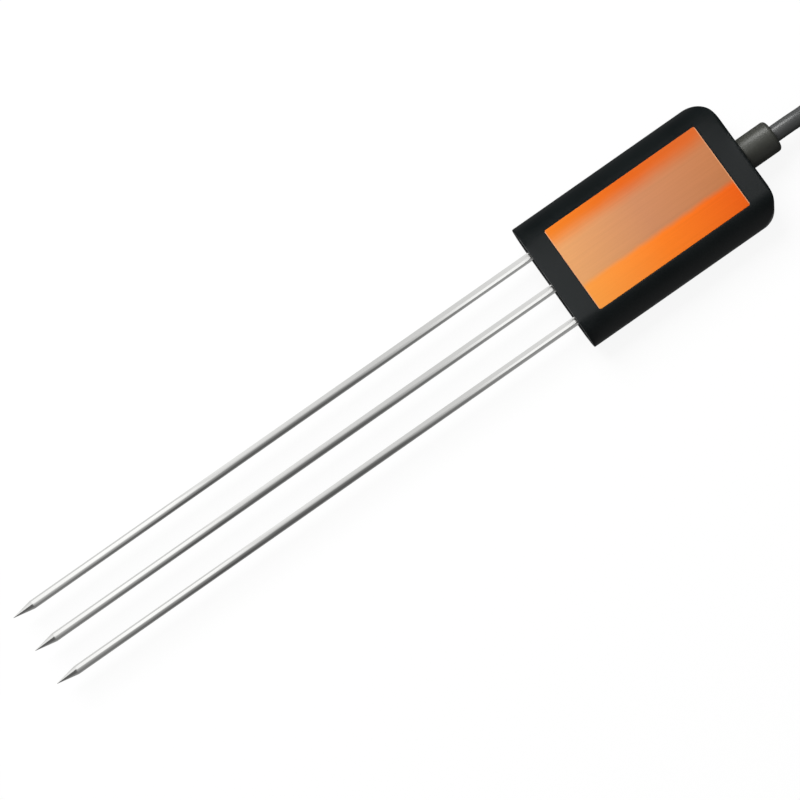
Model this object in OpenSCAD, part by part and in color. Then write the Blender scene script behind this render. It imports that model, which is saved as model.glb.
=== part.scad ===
// Three-needle soil probe with a potted housing and a coiled cable.
// It lies on its back: needles towards -X, cable towards +X, label up.
// The origin is the middle of the housing's flat back.

/* [Housing] */
// Length of the housing along the needles
body_l = 73.5; // [60:0.5:100]
// Width of the housing across the needles
body_w = 46; // [42:0.5:60]
// Thickness of the housing from back to front
body_t = 15; // [13:0.5:18]
// Thickness of the housing's walls
wall = 2.2; // [1.6:0.1:3]
// Thickness of the wall that the cable passes through
end_wall = 3; // [2:0.1:5]
// Radius that rolls the front and back over into the sides
crown_r = 9.5; // [9.1:0.1:11]
// Radius of the sides at their widest
side_r = 5; // [4:0.1:5.5]
// Corner radius seen from the front, at the cable end
corner_r = 9; // [6:0.5:12]
// Rounding of the front and back edges at the cable end
end_r = 1.2; // [0.6:0.1:2]

/* [Label] */
// Distance from the needle end to the label
label_from_mouth = 7.7; // [6:0.1:14]
// Distance from the cable end to the label
label_from_end = 8; // [6:0.1:14]
// Distance from the housing's sides to the label
label_from_side = 7.5; // [7:0.1:12]
// Thickness of the label film
label_t = 0.3; // [0.2:0.05:0.4]
// Corner radius of the label
label_r = 0.7; // [0.4:0.1:3]
// Depth of the recess that holds the label
label_sink = 0.45; // [0.4:0.05:0.8]

/* [Needles] */
// Diameter of a needle
needle_d = 3; // [2.6:0.1:4]
// Length of a needle outside the housing
needle_l = 200; // [50:5:300]
// Distance between neighbouring needles
needle_pitch = 12.7; // [10:0.1:14]
// Length of the ground point
point_l = 7.4; // [4:0.2:12]
// Width of the flat left at the very tip
tip_d = 0.16; // [0.1:0.02:0.4]
// Width of the shoulder where the tail inside the housing starts
shoulder = 0.3; // [0.2:0.05:0.4]
// Length of the tail past the needle plate
tail_l = 12; // [8:0.5:14]

/* [Needle plate] */
// Thickness of the plate that spaces the needles
plate_t = 3.4; // [2:0.1:5]
// How far the plate sits inside the rim
plate_sink = 0.6; // [0.2:0.1:1.5]
// Thickness of the rim round the plate
mouth_wall = 1.4; // [1:0.1:1.5]

/* [Temperature element] */
// Wall of the hollow centre needle at its tail
bore_wall = 0.3; // [0.2:0.05:0.4]
// Solid length between the point and the bore
bore_floor = 3; // [1:0.5:8]
// Room between the sensing bead and the bore
bead_room = 0.3; // [0.2:0.05:0.4]
// Length of the sensing bead
bead_l = 3.2; // [2:0.2:6]
// Diameter of a bead lead
lead_d = 0.4; // [0.3:0.05:0.5]
// Distance between the two bead leads
lead_pitch = 0.7; // [0.6:0.05:0.8]
// Length of the lead that shows past the tail
lead_out = 2; // [1:0.2:3]
// Length of the heat filler behind the bead
filler_l = 20; // [10:1:40]

/* [Circuit board] */
// Distance from the housing's sides to the board
board_from_side = 5.5; // [5:0.1:6.5]
// Thickness of the board
board_t = 1.6; // [1:0.2:2]
// Room between the needle plate and the board
board_from_plate = 1; // [0.5:0.1:2]
// Thickness of a guide rail
rail_t = 1.2; // [0.8:0.1:1.4]
// How far the rails reach over the board's edge
rail_grip = 0.8; // [0.5:0.1:1.2]
// Height of a soldered needle fillet
fillet_h = 1.3; // [0.8:0.1:1.6]
// Width of a soldered needle fillet on the board
fillet_w = 2.2; // [1.8:0.1:2.6]

/* [Cable] */
// Outside diameter of the cable
cable_d = 5.7; // [4.5:0.1:6]
// Diameter of one insulated core
core_d = 1.2; // [0.9:0.1:1.3]
// Diameter of a tinned core end
strand_d = 0.8; // [0.5:0.1:1]
// Gap between neighbouring cores
core_gap = 0.3; // [0.1:0.05:0.5]
// Length of cable jacket past the strain relief's flange
jacket_in = 7; // [5:0.5:9]
// Length of the cores between the jacket and the board
core_run = 8; // [6:0.5:12]
// Diameter of the strain relief outside the housing
boss_d = 10.9; // [9:0.1:12]
// Length of the strain relief outside the housing
boss_l = 11.5; // [8:0.5:20]
// Rounding of the strain relief's outer edge
boss_r = 1.4; // [0.5:0.1:2]
// Thickness of the strain relief in the end wall
neck_wall = 1; // [0.8:0.1:1.2]
// How far the flange inside the end wall stands out
flange_lip = 0.5; // [0.3:0.05:0.9]
// Thickness of the flange inside the end wall
flange_t = 2; // [1:0.1:3]
// Width of the tie that stops the cable pulling out
stop_w = 3.6; // [2.4:0.1:4]
// Thickness of the tie that stops the cable pulling out
stop_t = 1.2; // [0.8:0.1:1.4]

/* [Cable coil] */
// Radius at the middle of the coil's turns
coil_mid_r = 28.5; // [26:0.5:34]
// Turns in each of the four layers, in steps of a quarter
layer_turns = 2.25; // [1.5:0.25:3]
// Gap between neighbouring turns in a layer
turn_gap = 0.6; // [0.6:0.1:1.5]
// Gap between layers
layer_gap = 0.5; // [0.5:0.1:1.5]
// Width of the coil's tie
tie_w = 5; // [3:0.5:8]
// Thickness of the coil's tie
tie_t = 0.6; // [0.5:0.1:1.2]
// Length of the bare cores at the cable's end
tail_core_l = 38; // [20:1:45]
// Length of the tinned ends
tinned_l = 7; // [4:0.5:10]

/* [Clearances] */
// Room between parts that are glued, potted or moulded together
fit_gap = 0.05; // [0.02:0.01:0.08]
// Room round parts that slide into place
slide_gap = 0.1; // [0.05:0.01:0.15]
// Room between the coil's tie and the cable
tie_gap = 0.3; // [0.2:0.05:0.5]

/* [Hidden] */
$fn = 64;

// Cuts reach this far past a face, and outlines this far past a tangent side
past = 1;
over = 0.05;

// Planes along the housing
x_mouth = -body_l / 2;
x_end = body_l / 2;
z_axis = body_t / 2;
x_plate = x_mouth + plate_sink;
x_ledge = x_plate + plate_t;
x_cavity_end = x_end - end_wall;
x_tip = x_mouth - needle_l;
x_tail = x_ledge + tail_l;
x_flange = x_cavity_end - flange_t;
x_jacket = x_flange - jacket_in;

// Diameters that step in from the needle and out from the cable
tail_d = needle_d - 2 * shoulder;
bore_d = tail_d - 2 * bore_wall;
bead_d = bore_d - 2 * bead_room;
neck_d = cable_d + 2 * neck_wall;
flange_d = neck_d + 2 * flange_lip;
x_bore = x_tip + point_l + bore_floor;
x_bead = x_bore + fit_gap;

// Half sizes of the housing's section, and where its crown arcs start
half_w = body_w / 2;
half_t = body_t / 2;
crown_drop = crown_r - half_t;
flat_half = half_w - side_r - sqrt(pow(crown_r - side_r, 2) - pow(crown_drop, 2));
side_angle = asin(crown_drop / (crown_r - side_r));

// The board lies under the needle tails, between the plate and the cable
board_top = z_axis - tail_d / 2 - fit_gap;
board_x = x_ledge + board_from_plate;
board_l = x_jacket - core_run - board_x;
board_w = body_w - 2 * board_from_side;
rail_y = board_w / 2 - rail_grip;
needle_ys = [needle_pitch, 0, -needle_pitch];

// Rails hold the board's sides from the end of the needle tails on
rail_x = x_tail;
rail_l = board_x + board_l - rail_x;

// Columns of parts: distances from the board's needle edge, past the bead leads and by the cable
small_from_leads = 1.5;
chip_from_leads = 5;
power_from_leads = 11.5;
cable_parts_from_edge = 5;
leads_end = x_tail + lead_out - board_x;
chip_x = leads_end + chip_from_leads;
power_x = leads_end + power_from_leads;
cable_x = board_l - cable_parts_from_edge;

// Rows of parts: outwards from the chip, and inwards from the rails
part_gap = 0.4;
chip_size = [7, 7, 1.4];
chip_span = [9, 9, 1.4];
capacitor_size = [2, 1.25, 0.9];
resistor_size = [2, 1.25, 0.5];
small_step = 4;
capacitor_y = (chip_span.y + capacitor_size.y) / 2 + part_gap;
edge_y = rail_y - part_gap;
inner_y = edge_y - resistor_size.y - part_gap;
capacitor_places = [
    for (i = [0:1])
        for (s = [-1, 1])
            [leads_end + small_from_leads + i * small_step, s * capacitor_y]
];
resistor_places = [
    for (i = [0:3])
        for (s = [-1, 1])
            [leads_end + small_from_leads + i * small_step, s * (edge_y - resistor_size.y / 2)]
];

// Larger parts: [place, body size, size over the legs]
chip = [[chip_x, 0], chip_size, chip_span];
bus_span = [4.9, 6, 1.5];
bus_chip = [[power_x, bus_span.y / 2 - inner_y], [4.9, 3.9, 1.5], bus_span];
regulator_span = [6.5, 7, 1.6];
regulator = [[power_x, inner_y - regulator_span.y / 2], [6.5, 3.5, 1.6], regulator_span];
inductor_size = [6, 6, 3];
inductor = [[chip_x, inductor_size.y / 2 - inner_y], inductor_size, inductor_size];
crystal_size = [5, 3.2, 1.2];
crystal = [[chip_x, inner_y - crystal_size.y / 2], crystal_size, crystal_size];
tantalum_size = [4.3, 7.3, 2.9];
tantalum = [[cable_x, edge_y - tantalum_size.y / 2], tantalum_size, tantalum_size];
diode_size = [4.4, 2.6, 2.1];
diode_step = diode_size.y + 2 * part_gap;
diode_places = [for (i = [0:1]) [cable_x, diode_size.y / 2 - edge_y + i * diode_step]];

// Legs: how many on a side, their thickness, and how much of a side they take
chip_legs = 8;
bus_legs = 4;
regulator_legs = 3;
leg_t = 0.2;
leg_share = 0.5;
legs_span = 0.8;

// The cores, left to right, and their pads at the board's cable edge
cores = 4;
middle_core = (cores - 1) / 2;
core_spread = (core_d + core_gap) / 2;
pad_pitch = 3;
pad_from_edge = 3;
pad_r = 0.9;
pad_h = 1.1;
x_pad = board_x + board_l - pad_from_edge;
core_straight = 2 * core_d;
inner_core_steps = 8;

// The tie that stops the cable pulling out, and its head
stop_in_r = cable_d / 2 + fit_gap;
stop_head = [stop_w, 4.6, 2.3];
stop_top = stop_in_r + stop_head.z - stop_t;
cable_exit = [x_end + boss_l, 0, z_axis];

// Route of the cable's free stretch: distance along X and Y from the strain relief,
// and the share of the drop to the coil's lowest layer
run_route = [
    [0, 0, 0], [6, 0, 0], [12.5, 0, 0.15], [18.5, 0.8, 0.5],
    [24, 3.1, 0.85], [28.8, 6.7, 1], [31, 8.9, 1]
];
run_sides = 10;

// The coil winds clockwise from the run's end in four layers
layers = 4;
turn_step = cable_d + turn_gap;
layer_step = cable_d + layer_gap;
loop_rings = 24;
loop_sides = 6;
climb_turns = 0.5;
climb_out = turn_step * climb_turns / 4;
coil_z = tie_t + tie_gap + cable_d / 2;
coil_in_r = coil_mid_r - turn_step * layer_turns / 2;
coil_out_r = coil_mid_r + turn_step * layer_turns / 2;
run_points = [
    for (p = run_route)
        cable_exit + [p[0], p[1], p[2] * (coil_z - z_axis)]
];
run_last = run_points[len(run_points) - 1];
run_dir = unit(run_last - run_points[len(run_points) - 2]);
run_heading = atan2(run_dir.y, run_dir.x);
coil_start = run_last + cable_d * run_dir;
coil_centre = coil_start + coil_out_r * [sin(run_heading), -cos(run_heading), 0];
layer_cycle = layer_turns + climb_turns;
coil_rings = round(loop_rings * (layers * layer_turns + (layers - 1) * climb_turns));
coil_turns = [for (i = [0:coil_rings]) coil_point(i / loop_rings)];
end_angle = 90 + run_heading - 360 * coil_rings / loop_rings;
coil_outward = [cos(end_angle), sin(end_angle), 0];
coil_dir = [sin(end_angle), -cos(end_angle), 0];
coil_last = coil_turns[coil_rings] + cable_d * coil_dir;
coil_points = concat([run_last], coil_turns, [coil_last]);

// The stripped cores leave the jacket straight, then follow the coil on top of the layer below
tail_core_step = core_d + slide_gap;
tail_core_rings = 12;
tinned_rings = 3;
core_sides = 8;
tail_rest = coil_z + (layers - 2) * layer_step + (cable_d + core_d) / 2 + slide_gap;
tail_turn = turn_over(tail_core_l);
tinned_turn = turn_over(tinned_l);
spread_turn = 0.2 * tail_turn;
settle_turn = 0.4 * tail_turn;

// The coil's tie: how many turns past the start it sits, and its head
tie_turn = 0.2;
tie_head = [4.6, 3.4];

function unit(v) = v / norm(v);
function ease(t) = t * t * (3 - 2 * t);
function flat_list(lists) = [for (l = lists) for (v = l) v];
function mix(a, b, t) = a + (b - a) * t;

// Degrees that a length takes along the coil's outer turn
function turn_over(length) = 360 * length / (2 * PI * coil_out_r);

// A point round the coil's axis
function coil_at(r, a, z) = [coil_centre.x + r * cos(a), coil_centre.y + r * sin(a), z];

// Centre of the coiled cable after a number of turns
function coil_point(turns) =
    let (layer = min(layers - 1, floor(turns / layer_cycle + 1e-6)))
    let (done = turns - layer * layer_cycle)
    let (climb = max(0, done - layer_turns) / climb_turns)
    let (inward = turn_step * min(done, layer_turns) + 4 * climb_out * climb * (1 - climb))
    let (r = layer % 2 == 0 ? coil_out_r - inward : coil_in_r + inward)
    let (a = 90 + run_heading - 360 * turns)
    coil_at(r, a, coil_z + layer_step * (layer + ease(climb)));

// Least room between one part of the coil and another, half a turn or more apart
function coil_gap(pts) =
    min([
        for (i = [0:len(pts) - 1])
            for (j = [i + loop_rings / 2:1:len(pts) - 1])
                norm(pts[i] - pts[j])
    ]) - cable_d;
function path_length(pts) =
    let (steps = [for (i = [1:len(pts) - 1]) norm(pts[i] - pts[i - 1])])
    steps * [for (s = steps) 1];

// Direction of a path at one of its points
function heading_at(pts, i) =
    unit(pts[min(i + 1, len(pts) - 1)] - pts[max(i - 1, 0)]);
function ring_at(p, dir, r, sides) =
    let (side = unit(cross(dir, [0, 0, 1])))
    let (up = cross(side, dir))
    [for (k = [0:sides - 1]) p + r * (cos(360 * k / sides) * side + sin(360 * k / sides) * up)];

// One closed tube of triangles along a path
module tube(pts, d, sides) {
    last = len(pts) - 1;
    rings = flat_list([for (i = [0:last]) ring_at(pts[i], heading_at(pts, i), d / 2, sides)]);
    walls = flat_list([
        for (i = [0:last - 1])
            for (k = [0:sides - 1])
                let (a = i * sides + k, b = i * sides + (k + 1) % sides)
                [[a, a + sides, b], [b, a + sides, b + sides]]
    ]);
    start_cap = [for (k = [1:sides - 2]) [0, k, k + 1]];
    end_cap = [for (k = [1:sides - 2]) [0, k + 1, k] + last * sides * [1, 1, 1]];
    polyhedron(points = rings, faces = concat(walls, start_cap, end_cap));
}

// Extrudes a section drawn across the housing from one plane to another
module along_x(from, to) {
    translate([from, 0, z_axis])
        rotate([90, 0, 90])
            linear_extrude(to - from) children();
}

// Turns a profile of [distance along X, radius] about the needle or cable axis
module turned(y) {
    translate([0, y, z_axis])
        rotate([0, 90, 0])
            rotate_extrude()
                mirror([1, -1]) children();
}

// The housing's section: flat front and back, rolled over into round sides
module section(inset) {
    crown = crown_r - inset;
    side = side_r - inset;
    half = half_t - inset;
    crown_end = flat_half + crown * cos(side_angle);
    square([2 * flat_half, 2 * half], center = true);
    for (s = [-1, 1]) {
        intersection() {
            translate([s * flat_half, -crown_drop]) circle(crown);
            translate([s * flat_half, crown_drop]) circle(crown);
            translate([s * (flat_half + crown_end) / 2 - s * over, 0])
                square([crown_end - flat_half + 2 * over, 2 * half], center = true);
        }
        translate([s * (half_w - side_r), 0]) circle(side);
    }
}

// Outline from the front: square at the needle end, round corners at the cable end
module front_outline(inset, end) {
    half = half_w - inset + over;
    r = max(corner_r - inset, end_r);
    translate([x_mouth - past, -half]) square([end - r - x_mouth + past, 2 * half]);
    translate([x_mouth - past, -half + r]) square([end - x_mouth + past, 2 * (half - r)]);
    for (s = [-1, 1])
        translate([end - r, s * (half - r)]) circle(r);
}

// Outline from the side, with the cable end's front and back edges rounded
module side_outline() {
    half = half_t + over;
    translate([x_mouth - past, -half]) square([body_l - end_r + past, 2 * half]);
    translate([x_mouth - past, -half + end_r]) square([body_l + past, 2 * (half - end_r)]);
    for (s = [-1, 1])
        translate([x_end - end_r, s * (half - end_r)]) circle(end_r);
}

module rounded_rect(size, r) {
    square([size.x - 2 * r, size.y], center = true);
    square([size.x, size.y - 2 * r], center = true);
    for (sx = [-1, 1])
        for (sy = [-1, 1])
            translate([sx * (size.x / 2 - r), sy * (size.y / 2 - r)]) circle(r);
}

// A solid of the housing's form between two planes, its faces moved in by inset
module hollow(inset, from, to) {
    intersection() {
        along_x(from, to) section(inset);
        linear_extrude(body_t) front_outline(inset, to);
    }
}

module label_shape(grow) {
    label_l = body_l - label_from_mouth - label_from_end;
    label_w = body_w - 2 * label_from_side;
    translate([x_mouth + label_from_mouth + label_l / 2, 0])
        rounded_rect([label_l + 2 * grow, label_w + 2 * grow], label_r + grow);
}

module guide_rails() {
    intersection() {
        along_x(x_ledge, x_cavity_end) section(wall / 2);
        for (s = [-1, 1])
            for (z = [board_top + slide_gap, board_top - board_t - slide_gap - rail_t])
                translate([rail_x, s > 0 ? rail_y : -half_w, z])
                    cube([rail_l, half_w - rail_y, rail_t]);
    }
}

module housing_shell() {
    color("#1b1f20") {
        difference() {
            intersection() {
                along_x(x_mouth, x_end) section(0);
                linear_extrude(body_t) front_outline(0, x_end);
                translate([0, 0, z_axis])
                    rotate([90, 0, 0])
                        linear_extrude(body_w + 2 * past, center = true) side_outline();
            }
            along_x(x_mouth - past, x_ledge) section(mouth_wall);
            hollow(wall, x_ledge - past, x_cavity_end);
            along_x(x_cavity_end - past, x_end + past) circle(d = neck_d + 2 * fit_gap);
            translate([0, 0, body_t - label_sink])
                linear_extrude(label_sink + past) label_shape(slide_gap);
        }
        guide_rails();
    }
}

module needle_plate() {
    color("#202324")
        along_x(x_plate, x_ledge)
            difference() {
                section(mouth_wall + slide_gap);
                for (y = needle_ys)
                    translate([y, 0]) circle(d = tail_d + 2 * fit_gap);
            }
}

module front_label() {
    color("#ee7a2b")
        translate([0, 0, body_t - label_sink])
            linear_extrude(label_t) label_shape(0);
}

// A needle ground to a point, with a shoulder on the plate and a thinner tail
module needle(y) {
    turned(y)
        polygon([
            [x_tip, 0],
            [x_tip, tip_d / 2],
            [x_tip + point_l, needle_d / 2],
            [x_plate, needle_d / 2],
            [x_plate, tail_d / 2],
            [x_tail, tail_d / 2],
            [x_tail, 0]
        ]);
}

module needle_left() {
    color("#d9dbdc") needle(needle_ys[0]);
}

module needle_centre() {
    color("#d9dbdc")
        difference() {
            needle(needle_ys[1]);
            along_x(x_bore, x_tail + past) circle(d = bore_d);
        }
}

module needle_right() {
    color("#d9dbdc") needle(needle_ys[2]);
}

module needle_solder() {
    color("#b9bdbf")
        along_x(board_x + fit_gap, x_tail - fit_gap)
            for (y = needle_ys)
                for (s = [-1, 1])
                    difference() {
                        translate([y, board_top - z_axis])
                            polygon([
                                [s * tail_d / 4, 0],
                                [s * fillet_w, 0],
                                [s * tail_d / 2, fillet_h]
                            ]);
                        translate([y, 0]) circle(d = tail_d + fit_gap);
                    }
}

module thermistor_bead() {
    color("#3b2a1c")
        along_x(x_bead, x_bead + bead_l) circle(d = bead_d);
}

module thermistor_leads() {
    color("#a33a2c")
        for (s = [-1, 1]) {
            along_x(x_bead + bead_l, x_tail + lead_out)
                translate([s * lead_pitch / 2, 0]) circle(d = lead_d);
            translate([x_tail + lead_out, s * lead_pitch / 2, board_top])
                cylinder(d = lead_d, h = z_axis - board_top);
            translate([x_tail + lead_out, s * lead_pitch / 2, z_axis]) sphere(d = lead_d);
        }
}

module heat_filler() {
    color("#c9c4b4")
        difference() {
            along_x(x_bead, x_bead + bead_l + filler_l) circle(d = bore_d - 2 * fit_gap);
            along_x(x_bead - past, x_bead + bead_l) circle(d = bead_d);
            for (s = [-1, 1])
                along_x(x_bead, x_bead + bead_l + filler_l + past)
                    translate([s * lead_pitch / 2, 0]) circle(d = lead_d + fit_gap);
        }
}

module circuit_board() {
    color("#1f6b3a")
        translate([board_x, -board_w / 2, board_top - board_t])
            cube([board_l, board_w, board_t]);
}

// A block standing on the board
module on_board(place, size) {
    translate([board_x + place.x - size.x / 2, place.y - size.y / 2, board_top]) cube(size);
}

// Legs along both sides of a part, across X or across Y
module legs(part, count, across_x) {
    at = part[0];
    body = part[1];
    full = part[2];
    row = across_x ? body.y : body.x;
    pitch = row * legs_span / (count - 1);
    for (i = [0:count - 1]) {
        shift = (i - (count - 1) / 2) * pitch;
        place = across_x ? [at.x, at.y + shift] : [at.x + shift, at.y];
        size = across_x ? [full.x, pitch * leg_share, leg_t] : [pitch * leg_share, full.y, leg_t];
        on_board(place, size);
    }
}

module microcontroller() {
    color("#2a2c2e") {
        on_board(chip[0], chip[1]);
        legs(chip, chip_legs, true);
        legs(chip, chip_legs, false);
    }
}

module bus_transceiver() {
    color("#2a2c2e") {
        on_board(bus_chip[0], bus_chip[1]);
        legs(bus_chip, bus_legs, false);
    }
}

module voltage_regulator() {
    color("#2a2c2e") {
        on_board(regulator[0], regulator[1]);
        legs(regulator, regulator_legs, false);
    }
}

module power_inductor() {
    color("#4a4a4c")
        on_board(inductor[0], inductor[1]);
}

module bulk_capacitor() {
    color("#c58a2e")
        on_board(tantalum[0], tantalum[1]);
}

module clock_crystal() {
    color("#c2c4c6")
        on_board(crystal[0], crystal[1]);
}

module surge_diodes() {
    color("#2a2c2e")
        for (p = diode_places) on_board(p, diode_size);
}

module chip_capacitors() {
    color("#b08d68")
        for (p = capacitor_places) on_board(p, capacitor_size);
}

module chip_resistors() {
    color("#1e1e20")
        for (p = resistor_places) on_board(p, resistor_size);
}

module core_solder() {
    color("#b9bdbf")
        for (i = [0:cores - 1])
            translate([x_pad, (i - middle_core) * pad_pitch, board_top])
                cylinder(r1 = pad_r, r2 = strand_d / 2, h = pad_h);
}

// Where a core leaves the jacket: two above and two below
function core_offset(i) = [
    (i < 2 ? 1 : -1) * core_spread,
    (i % 2 == 0 ? 1 : -1) * core_spread
];

// One core, straight out of the jacket's inner end and then down to its pad
module inner_core(i) {
    x_bend = x_jacket - core_straight;
    x_to = x_pad + pad_r + fit_gap;
    start = core_offset(cores - 1 - i);
    land = (i - middle_core) * pad_pitch;
    z_land = board_top + core_d / 2 + fit_gap;
    curved = [
        for (k = [0:inner_core_steps])
            let (t = k / inner_core_steps, e = ease(t))
            [mix(x_bend, x_to, t), mix(start.x, land, e), mix(z_axis + start.y, z_land, e)]
    ];
    tube(concat([[x_jacket, start.x, z_axis + start.y]], curved), core_d, core_sides);
}

module core_brown() {
    color("#6b4226") inner_core(0);
}

module core_black() {
    color("#232426") inner_core(1);
}

module core_yellow() {
    color("#e3c22b") inner_core(2);
}

module core_blue() {
    color("#2b5aa8") inner_core(3);
}

module strain_relief() {
    bore = cable_d / 2 + fit_gap;
    x_out = x_end + boss_l;
    color("#4a4b49")
        turned(0) {
            difference() {
                union() {
                    translate([x_end, 0]) square([boss_l - boss_r, boss_d / 2]);
                    translate([x_end, 0]) square([boss_l, boss_d / 2 - boss_r]);
                    translate([x_out - boss_r, boss_d / 2 - boss_r]) circle(boss_r);
                    translate([x_cavity_end - over, 0]) square([end_wall + 2 * over, neck_d / 2]);
                    translate([x_flange, 0]) square([flange_t, flange_d / 2]);
                }
                translate([x_flange - past, -bore]) square([x_out - x_flange + 2 * past, 2 * bore]);
            }
        }
}

module cable_stop() {
    x_from = x_flange - fit_gap - stop_w;
    color("#e4e2d8")
        difference() {
            union() {
                along_x(x_from, x_from + stop_w) circle(r = stop_in_r + stop_t);
                translate([x_from, -stop_head.y / 2, z_axis])
                    cube([stop_head.x, stop_head.y, stop_top]);
            }
            along_x(x_from - past, x_from + stop_w + past) circle(r = stop_in_r);
        }
}

module cable_inner() {
    color("#4b4c4c")
        along_x(x_jacket, x_end + boss_l) circle(d = cable_d);
}

// The epoxy that fills the housing, with plain pockets for what it holds
module potting_block() {
    x_from = x_ledge + fit_gap;
    x_to = x_cavity_end - fit_gap;
    rail_low = board_top - board_t - slide_gap - rail_t;
    rail_high = board_top + slide_gap + rail_t;
    core_room = core_spread + core_d;
    core_reach = middle_core * pad_pitch + core_d;
    x_stop = x_flange - stop_w - 2 * fit_gap;
    color("#17181a")
        difference() {
            hollow(wall + fit_gap, x_from, x_to);
            circuit_board();
            for (s = [-1, 1])
                translate([rail_x - fit_gap, s > 0 ? rail_y - fit_gap : -half_w, rail_low - fit_gap])
                    cube([
                        rail_l + 2 * fit_gap,
                        half_w - rail_y + fit_gap,
                        rail_high - rail_low + 2 * fit_gap
                    ]);
            for (part = [chip, bus_chip, regulator, inductor, tantalum, crystal])
                on_board(part[0], part[2]);
            for (p = diode_places) on_board(p, diode_size);
            for (p = capacitor_places) on_board(p, capacitor_size);
            for (p = resistor_places) on_board(p, resistor_size);
            for (y = needle_ys)
                translate([x_from - past, y - fillet_w, board_top])
                    cube([x_tail - x_from + past + fit_gap, 2 * fillet_w, tail_d + 2 * fit_gap]);
            translate([x_tail, -lead_pitch, board_top])
                cube([lead_out + lead_d, 2 * lead_pitch, tail_d + 2 * fit_gap]);
            translate([x_pad - pad_r - fit_gap, -core_reach, z_axis - core_room])
                cube([x_jacket - x_pad + pad_r + 2 * fit_gap, 2 * core_reach, 2 * core_room]);
            along_x(x_jacket - fit_gap, x_to + past) circle(d = cable_d + 2 * fit_gap);
            along_x(x_stop, x_to + past) circle(r = max(flange_d / 2, stop_in_r + stop_t) + fit_gap);
            translate([x_stop, -stop_head.y / 2 - fit_gap, z_axis])
                cube([stop_w + 2 * fit_gap, stop_head.y + 2 * fit_gap, stop_top + fit_gap]);
        }
}

module cable_run() {
    color("#4b4c4c") tube(run_points, cable_d, run_sides);
}

module cable_coil() {
    color("#4b4c4c") tube(coil_points, cable_d, loop_sides);
}

// A strap round the coil's turns, with room for the turns that step out where they climb
module coil_tie() {
    stack_w = layer_turns * turn_step + cable_d + 2 * (climb_out + tie_gap);
    stack_h = (layers - 1) * layer_step + cable_d + 2 * tie_gap;
    stack_r = cable_d / 2;
    color("#1d1e1f")
        translate([coil_centre.x, coil_centre.y, tie_t + stack_h / 2])
            rotate(90 + run_heading - 360 * tie_turn)
                translate([coil_mid_r, 0, 0])
                    rotate([90, 0, 0])
                        linear_extrude(tie_w, center = true)
                            difference() {
                                union() {
                                    rounded_rect([stack_w, stack_h] + 2 * tie_t * [1, 1], stack_r + tie_t);
                                    translate([-tie_head.x / 2, stack_h / 2]) square(tie_head);
                                }
                                rounded_rect([stack_w, stack_h], stack_r);
                            }
}

// Centre of one bare core, a distance straight out of the jacket's end face
function tail_start(i, out) =
    let (start = core_offset(i))
    coil_last + out * coil_dir + start.x * coil_outward + [0, 0, start.y];

// Centre of one bare core, a number of degrees past its straight start: it spreads, then settles
function tail_point(i, turn) =
    let (from = tail_start(i, core_straight) - coil_centre)
    let (spread = ease(min(1, turn / spread_turn)))
    let (settle = ease(max(0, min(1, (turn - spread_turn) / settle_turn))))
    let (r = mix(norm([from.x, from.y]), coil_out_r + (middle_core - i) * tail_core_step, spread))
    let (z = mix(from.z + coil_centre.z, tail_rest, settle))
    coil_at(r, atan2(from.y, from.x) - turn, z);

module tail_core(i) {
    curved = [for (k = [0:tail_core_rings]) tail_point(i, tail_turn * k / tail_core_rings)];
    tube(concat([tail_start(i, 0)], curved), core_d, core_sides);
}

module tail_brown() {
    color("#6b4226") tail_core(0);
}

module tail_black() {
    color("#232426") tail_core(1);
}

module tail_yellow() {
    color("#e3c22b") tail_core(2);
}

module tail_blue() {
    color("#2b5aa8") tail_core(3);
}

module tail_ends() {
    color("#c9ccce")
        for (i = [0:cores - 1])
            tube([
                for (k = [0:tinned_rings])
                    tail_point(i, tail_turn + turn_over(fit_gap) + tinned_turn * k / tinned_rings)
            ], strand_d, core_sides);
}

echo(coil_least_gap = coil_gap(coil_turns));
echo(cable_free_length = path_length(concat(run_points, coil_turns, [coil_last])));

housing_shell();
needle_plate();
front_label();
potting_block();
needle_left();
needle_centre();
needle_right();
needle_solder();
thermistor_bead();
thermistor_leads();
heat_filler();
circuit_board();
microcontroller();
bus_transceiver();
voltage_regulator();
power_inductor();
bulk_capacitor();
clock_crystal();
surge_diodes();
chip_capacitors();
chip_resistors();
core_solder();
core_brown();
core_black();
core_yellow();
core_blue();
strain_relief();
cable_stop();
cable_inner();
cable_run();
cable_coil();
coil_tie();
tail_brown();
tail_black();
tail_yellow();
tail_blue();
tail_ends();
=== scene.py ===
import bmesh
import bpy
from math import asin, atan2, cos, hypot, pi, radians, sin, sqrt
from mathutils import Matrix, Vector


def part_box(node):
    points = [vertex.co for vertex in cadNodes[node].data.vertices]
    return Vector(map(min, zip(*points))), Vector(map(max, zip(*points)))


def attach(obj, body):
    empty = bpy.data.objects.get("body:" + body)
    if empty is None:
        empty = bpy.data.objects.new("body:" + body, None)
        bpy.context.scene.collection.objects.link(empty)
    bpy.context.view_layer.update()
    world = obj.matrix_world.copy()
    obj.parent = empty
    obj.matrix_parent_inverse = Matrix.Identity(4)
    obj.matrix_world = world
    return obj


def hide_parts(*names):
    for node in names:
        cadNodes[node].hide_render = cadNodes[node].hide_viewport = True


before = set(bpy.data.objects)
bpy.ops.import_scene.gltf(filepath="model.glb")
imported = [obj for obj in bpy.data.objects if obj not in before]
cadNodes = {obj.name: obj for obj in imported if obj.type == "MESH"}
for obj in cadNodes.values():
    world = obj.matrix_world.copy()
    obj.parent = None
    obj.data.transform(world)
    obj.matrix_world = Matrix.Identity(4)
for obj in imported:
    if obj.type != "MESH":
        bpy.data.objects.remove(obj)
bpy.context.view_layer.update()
scene = bpy.context.scene
scene.view_settings.view_transform = "Standard"
mm = 0.001  # sizes below are in millimetres, Blender works in metres
print("frame loaded,", len(cadNodes), "CAD nodes")


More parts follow.
